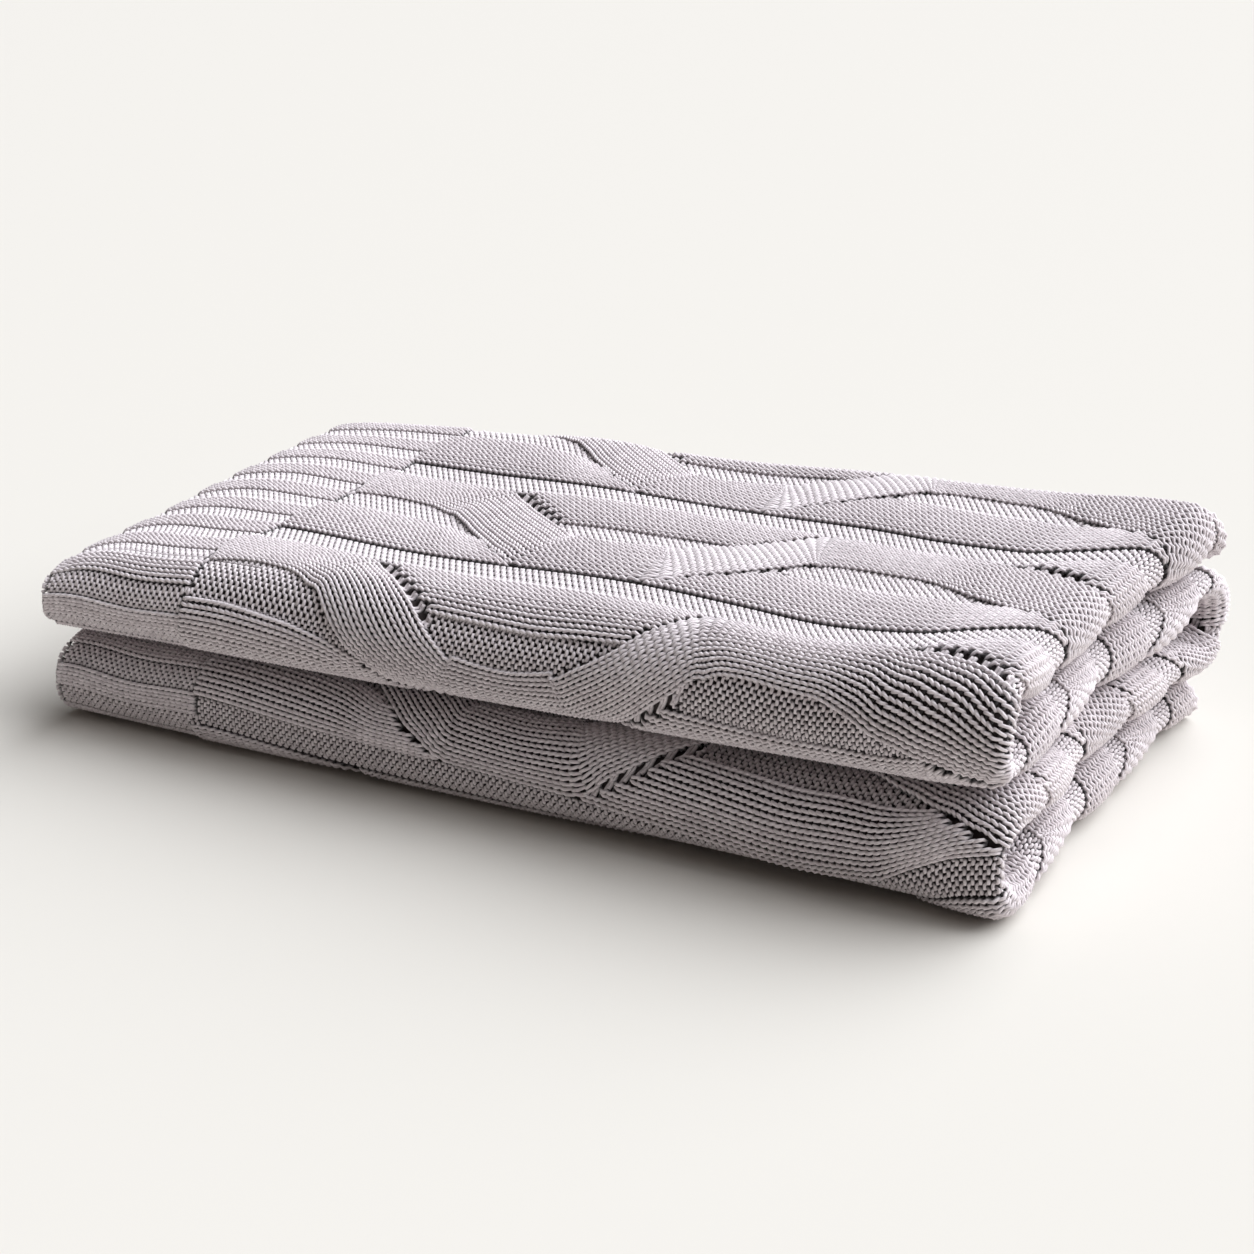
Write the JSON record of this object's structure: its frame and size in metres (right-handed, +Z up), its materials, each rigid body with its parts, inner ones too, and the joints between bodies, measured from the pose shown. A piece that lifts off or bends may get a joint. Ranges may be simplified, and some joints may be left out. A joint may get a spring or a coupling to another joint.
{
  "type": "folded throw blanket",
  "caption": "Thick cable-knit throw folded into a flat rectangular stack, ribbed ends at the left, rounded folds at the front, back and right; its panels unfold.",
  "frame": {"origin": "middle of the footprint, on the surface that the folded stack rests on", "axes": "+X along the knit ribs from the ribbed borders to the rounded end folds, +Y from the front to the back, +Z up"},
  "size_m": [0.635, 0.341, 0.1456],
  "materials": {
    "cable_knit": "matte plied yarn, pale lilac grey",
    "rib_knit": "matte plied yarn in fine ribs, pale lilac grey"
  },
  "bodies": {
    "third_panel": {"third_panel_lower_ply": "cable_knit", "third_panel_upper_ply": "cable_knit", "third_panel_lower_rib_border": "rib_knit", "third_panel_upper_rib_border": "rib_knit", "third_panel_end_fold": "cable_knit"},
    "bottom_panel": {"bottom_panel_lower_ply": "cable_knit", "bottom_panel_upper_ply": "cable_knit", "bottom_panel_lower_rib_border": "rib_knit", "bottom_panel_upper_rib_border": "rib_knit", "bottom_panel_end_fold": "cable_knit"},
    "second_panel": {"second_panel_lower_ply": "cable_knit", "second_panel_upper_ply": "cable_knit", "second_panel_lower_rib_border": "rib_knit", "second_panel_upper_rib_border": "rib_knit", "second_panel_end_fold": "cable_knit"},
    "top_panel": {"top_panel_lower_ply": "cable_knit", "top_panel_upper_ply": "cable_knit", "top_panel_lower_rib_border": "rib_knit", "top_panel_upper_rib_border": "rib_knit", "top_panel_end_fold": "cable_knit"}
  },
  "joints": [
    {"name": "lower_front_fold", "type": "hinge", "parent": "third_panel", "child": "bottom_panel", "pos_m": [0, -0.1712, 0.03166], "axis": [-0.9999, 0, -0.0157], "range_deg": [0, 180]},
    {"name": "back_fold", "type": "hinge", "parent": "third_panel", "child": "second_panel", "pos_m": [0, 0.1712, 0.0635], "axis": [-0.9995, 0, -0.0315], "range_deg": [0, 180]},
    {"name": "upper_front_fold", "type": "hinge", "parent": "second_panel", "child": "top_panel", "pos_m": [0, -0.1712, 0.09534], "axis": [0.9989, 0, 0.0472], "range_deg": [0, 180]}
  ]
}
